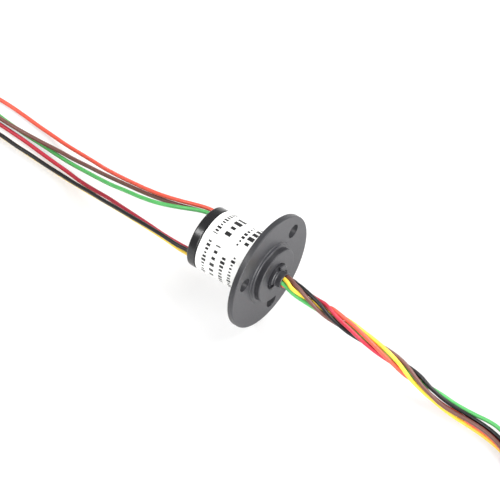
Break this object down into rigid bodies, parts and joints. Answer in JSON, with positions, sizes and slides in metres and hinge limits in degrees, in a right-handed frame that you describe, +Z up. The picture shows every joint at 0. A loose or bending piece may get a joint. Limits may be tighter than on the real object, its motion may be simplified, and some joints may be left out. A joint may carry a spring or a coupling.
{
  "type": "slip ring",
  "caption": "Miniature flanged capsule slip ring with coloured leads at both ends, loosely coiled and tied.",
  "frame": {"origin": "on the axis of rotation, in the plane of the flange's mounting face", "axes": "+X along the axis of rotation towards the rotor neck, +Z up from the surface it lies on"},
  "size_m": [0.1753, 0.027, 0.024],
  "materials": {
    "housing": "satin",
    "cap": "glossy",
    "label": "satin",
    "steel": "satin",
    "cage": "satin",
    "block": "satin",
    "gold": "glossy",
    "resin": "satin",
    "insulator": "satin",
    "lead_orange": "satin",
    "lead_brown": "satin",
    "lead_green": "satin",
    "lead_crimson": "satin",
    "lead_black": "satin",
    "lead_yellow": "satin",
    "tie": "satin"
  },
  "bodies": {
    "stator": {"flange_housing": "housing", "label_wrap": "label", "rear_cap": "cap", "front_bearing_outer_race": "steel", "front_bearing_balls": "steel", "front_bearing_cage": "cage", "rear_bearing_outer_race": "steel", "rear_bearing_balls": "steel", "rear_bearing_cage": "cage", "upper_brush_block": "block", "lower_brush_block": "block", "upper_lead_potting": "resin", "lower_lead_potting": "resin", "stator_coil": "lead_brown", "stator_coil_tie": "tie", "brush_1": "gold", "brush_2": "gold", "brush_3": "gold", "brush_4": "gold", "brush_5": "gold", "brush_6": "gold", "stator_lead_orange": "lead_orange", "stator_lead_brown": "lead_brown", "stator_lead_green": "lead_green", "stator_lead_crimson": "lead_crimson", "stator_lead_black": "lead_black", "stator_lead_yellow": "lead_yellow"},
    "rotor": {"rotor_shaft": "housing", "nose_potting": "resin", "front_bearing_inner_race": "steel", "rear_bearing_inner_race": "steel", "rear_spacer": "insulator", "retaining_clip": "steel", "rotor_coil": "lead_brown", "rotor_coil_tie": "tie", "slip_ring_1": "gold", "slip_ring_2": "gold", "slip_ring_3": "gold", "slip_ring_4": "gold", "slip_ring_5": "gold", "slip_ring_6": "gold", "barrier_1": "insulator", "barrier_2": "insulator", "barrier_3": "insulator", "barrier_4": "insulator", "barrier_5": "insulator", "barrier_6": "insulator", "barrier_7": "insulator", "rotor_lead_orange": "lead_orange", "rotor_lead_brown": "lead_brown", "rotor_lead_green": "lead_green", "rotor_lead_crimson": "lead_crimson", "rotor_lead_black": "lead_black", "rotor_lead_yellow": "lead_yellow"}
  },
  "joints": [
    {"name": "rotor_spin", "type": "hinge", "parent": "stator", "child": "rotor", "pos_m": [0, 0, 0], "axis": [1, 0, 0], "continuous": true}
  ]
}
